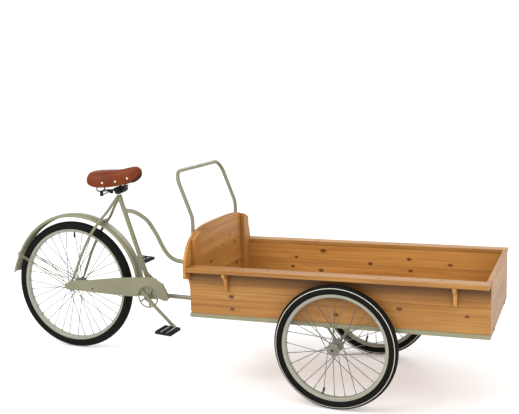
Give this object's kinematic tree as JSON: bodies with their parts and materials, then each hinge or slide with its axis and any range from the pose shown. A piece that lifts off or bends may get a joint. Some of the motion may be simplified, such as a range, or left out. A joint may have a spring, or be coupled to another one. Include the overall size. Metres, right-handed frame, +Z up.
{
  "type": "cargo tricycle",
  "caption": "Bicycle rear half that steers a long open wooden cargo box on two front wheels, with a bent push handle on the box's rear board.",
  "frame": {"origin": "on the ground, midway along the length and the width", "axes": "+X towards the box's front, +Y to the rider's left, +Z up"},
  "size_m": [2.2697, 0.811, 0.8916],
  "materials": {
    "sage_paint": "semi-gloss enamel with a few chips",
    "fir_wood": "clear satin varnish",
    "black_rubber": "matte",
    "pale_rim_paint": "semi-gloss enamel",
    "bright_steel": "zinc plated",
    "brown_leather": "waxed",
    "black_enamel": "gloss",
    "black_plastic": "matte"
  },
  "bodies": {
    "rear_frame": {"seat_tube": "sage_paint", "swan_tube": "sage_paint", "lower_tube": "sage_paint", "bottom_bracket_shell": "sage_paint", "head_tube": "sage_paint", "chain_stay_right": "sage_paint", "chain_stay_left": "sage_paint", "seat_stay_right": "sage_paint", "seat_stay_left": "sage_paint", "stay_bridge": "sage_paint", "mudguard": "sage_paint", "mudguard_stay_right": "bright_steel", "mudguard_stay_left": "bright_steel", "chain_case": "sage_paint", "rear_axle": "bright_steel"},
    "rear_wheel": {"rear_tyre": "black_rubber", "rear_rim": "pale_rim_paint", "rear_hub": "bright_steel", "rear_sprocket": "bright_steel"},
    "crank": {"crank_spindle": "bright_steel", "chainwheel": "sage_paint", "crank_arm_right": "sage_paint", "crank_arm_left": "sage_paint"},
    "right_pedal": {"pedal_right": "black_plastic"},
    "left_pedal": {"pedal_left": "black_plastic"},
    "saddle": {"seat_post": "bright_steel", "seat_clamp": "black_enamel", "saddle_rails": "black_enamel", "saddle_cover": "brown_leather"},
    "front_box": {"steering_bracket": "sage_paint", "base_rail_right": "sage_paint", "base_rail_left": "sage_paint", "base_crossbar_rear": "sage_paint", "base_crossbar_axle": "sage_paint", "base_crossbar_front": "sage_paint", "floor_panel": "fir_wood", "side_wall_right": "fir_wood", "side_wall_left": "fir_wood", "rear_board_lower": "fir_wood", "rear_board_upper": "fir_wood", "front_board": "fir_wood", "shelf_right": "fir_wood", "shelf_left": "fir_wood", "shelf_bracket_right_rear": "fir_wood", "shelf_bracket_right_front": "fir_wood", "shelf_bracket_left_rear": "fir_wood", "shelf_bracket_left_front": "fir_wood", "rear_batten_right": "fir_wood", "rear_batten_left": "fir_wood", "push_handle": "sage_paint", "axle_bracket_right": "sage_paint", "axle_bracket_left": "sage_paint", "front_axle_right": "bright_steel", "front_axle_left": "bright_steel"},
    "front_right_wheel": {"front_right_tyre": "black_rubber", "front_right_rim": "pale_rim_paint", "front_right_hub": "bright_steel"},
    "front_left_wheel": {"front_left_tyre": "black_rubber", "front_left_rim": "pale_rim_paint", "front_left_hub": "bright_steel"}
  },
  "joints": [
    {"name": "rear_wheel_spin", "type": "hinge", "parent": "rear_frame", "child": "rear_wheel", "pos_m": [-0.8024, 0, 0.3], "axis": [0, 1, 0], "continuous": true},
    {"name": "crank_spin", "type": "hinge", "parent": "rear_frame", "child": "crank", "pos_m": [-0.3899, 0, 0.29], "axis": [0, 1, 0], "continuous": true},
    {"name": "pedal_right_spin", "type": "hinge", "parent": "crank", "child": "right_pedal", "pos_m": [-0.25656, -0.145, 0.16909], "axis": [0, 1, 0], "continuous": true},
    {"name": "pedal_left_spin", "type": "hinge", "parent": "crank", "child": "left_pedal", "pos_m": [-0.52324, 0.145, 0.41091], "axis": [0, 1, 0], "continuous": true},
    {"name": "saddle_height", "type": "slide", "parent": "rear_frame", "child": "saddle", "axis": [-0.3437, 0, 0.9391], "range_m": [0, 0.08]},
    {"name": "steering", "type": "hinge", "parent": "rear_frame", "child": "front_box", "pos_m": [-0.1174, 0, 0.36], "axis": [0, 0, 1], "range_deg": [-20, 20]},
    {"name": "front_right_wheel_spin", "type": "hinge", "parent": "front_box", "child": "front_right_wheel", "pos_m": [0.5607, -0.361, 0.2471], "axis": [0, 1, 0], "continuous": true},
    {"name": "front_left_wheel_spin", "type": "hinge", "parent": "front_box", "child": "front_left_wheel", "pos_m": [0.5607, 0.361, 0.2471], "axis": [0, 1, 0], "continuous": true}
  ]
}
